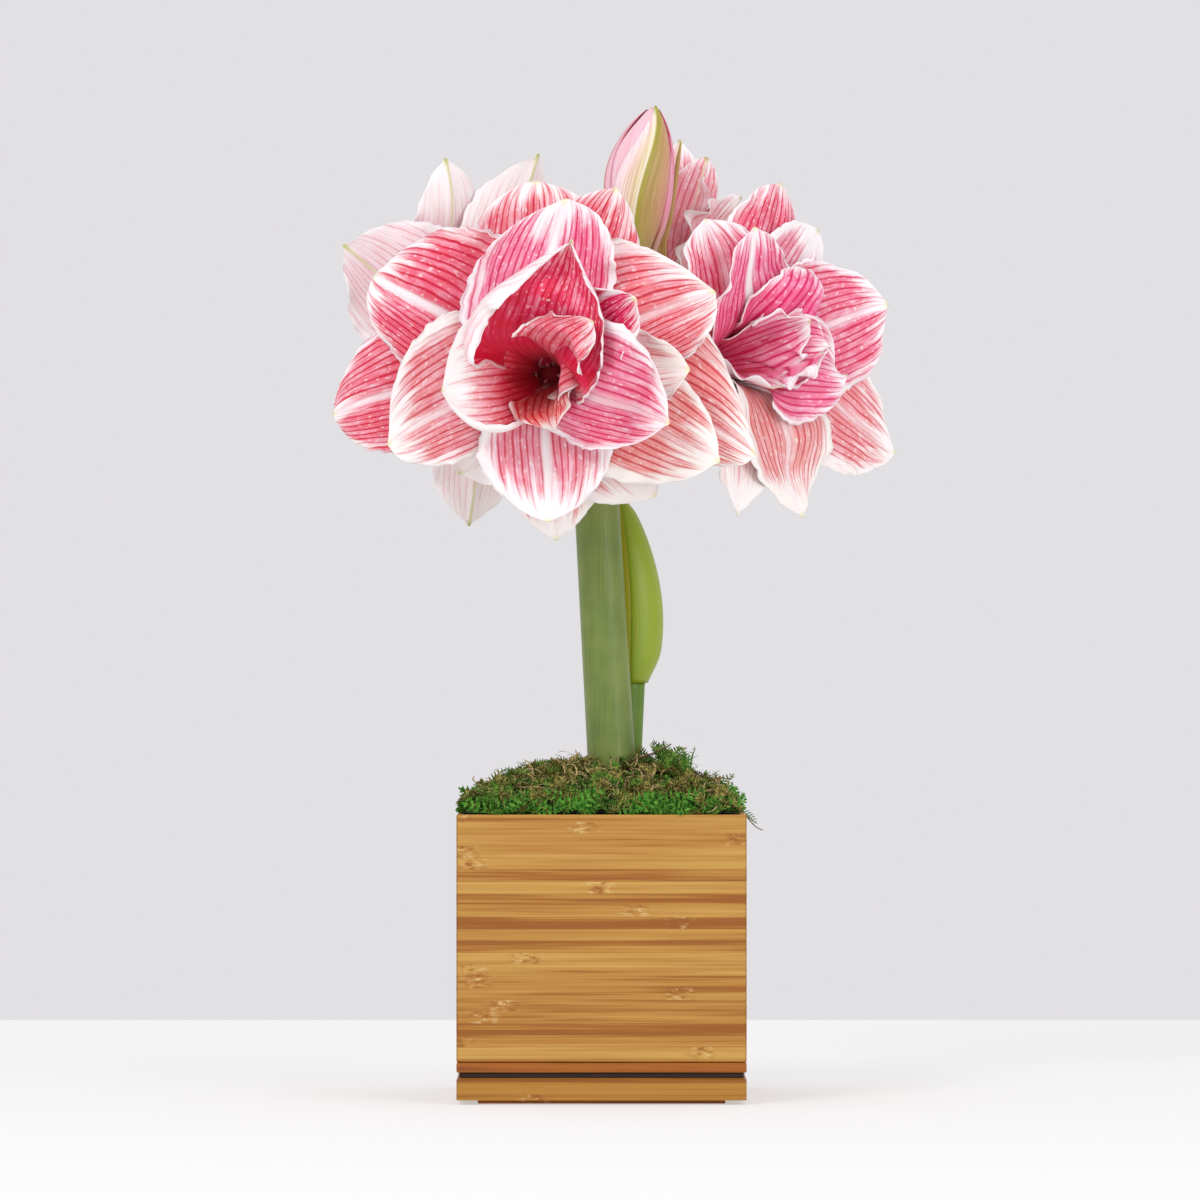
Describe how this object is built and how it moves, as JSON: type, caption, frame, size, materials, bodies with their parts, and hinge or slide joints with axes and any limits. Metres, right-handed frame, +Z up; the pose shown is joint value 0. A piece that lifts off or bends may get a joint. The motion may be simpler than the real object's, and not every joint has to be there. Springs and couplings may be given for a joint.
{
  "type": "amaryllis in a pot",
  "caption": "Double-flowered striped amaryllis on a tall stem with buds, growing from a mossed bulb in a square bamboo planter on its saucer.",
  "frame": {"origin": "middle of the saucer foot's underside, on the table", "axes": "+Z up along the plant, +X to the right and -Y towards a viewer who faces the front bloom"},
  "size_m": [0.3021, 0.3005, 0.5288],
  "materials": {
    "bamboo_wall": "satin varnish over laminated bamboo strips",
    "bamboo_base": "satin varnish over laminated bamboo strips",
    "spacer": "dark and matt",
    "liner": "thin black plastic",
    "soil": "damp potting soil",
    "bulb": "dry papery skins",
    "moss": "dry cushion moss with fern sprigs",
    "stem": "smooth green plant skin with a faint bloom",
    "spathe": "smooth green plant skin",
    "bud": "soft pink and brown-green petals",
    "petal_front": "soft white petals with crimson stripes",
    "petal_right": "soft white petals with magenta stripes",
    "petal_back": "soft pale pink petal backs with green ribs"
  },
  "bodies": {
    "root": {"saucer_foot": "bamboo_base", "saucer": "bamboo_base", "spacer": "spacer", "base_board": "bamboo_base", "wall_front": "bamboo_wall", "wall_right": "bamboo_wall", "wall_back": "bamboo_wall", "wall_left": "bamboo_wall", "liner": "liner", "soil": "soil", "bulb": "bulb", "moss": "moss", "scape_main": "stem", "scape_young": "stem", "spathe_bud": "spathe", "bud_top": "bud", "bloom_front": "petal_front", "bloom_right": "petal_right", "bloom_back": "petal_back", "bloom_half_open": "petal_right"}
  },
  "joints": []
}
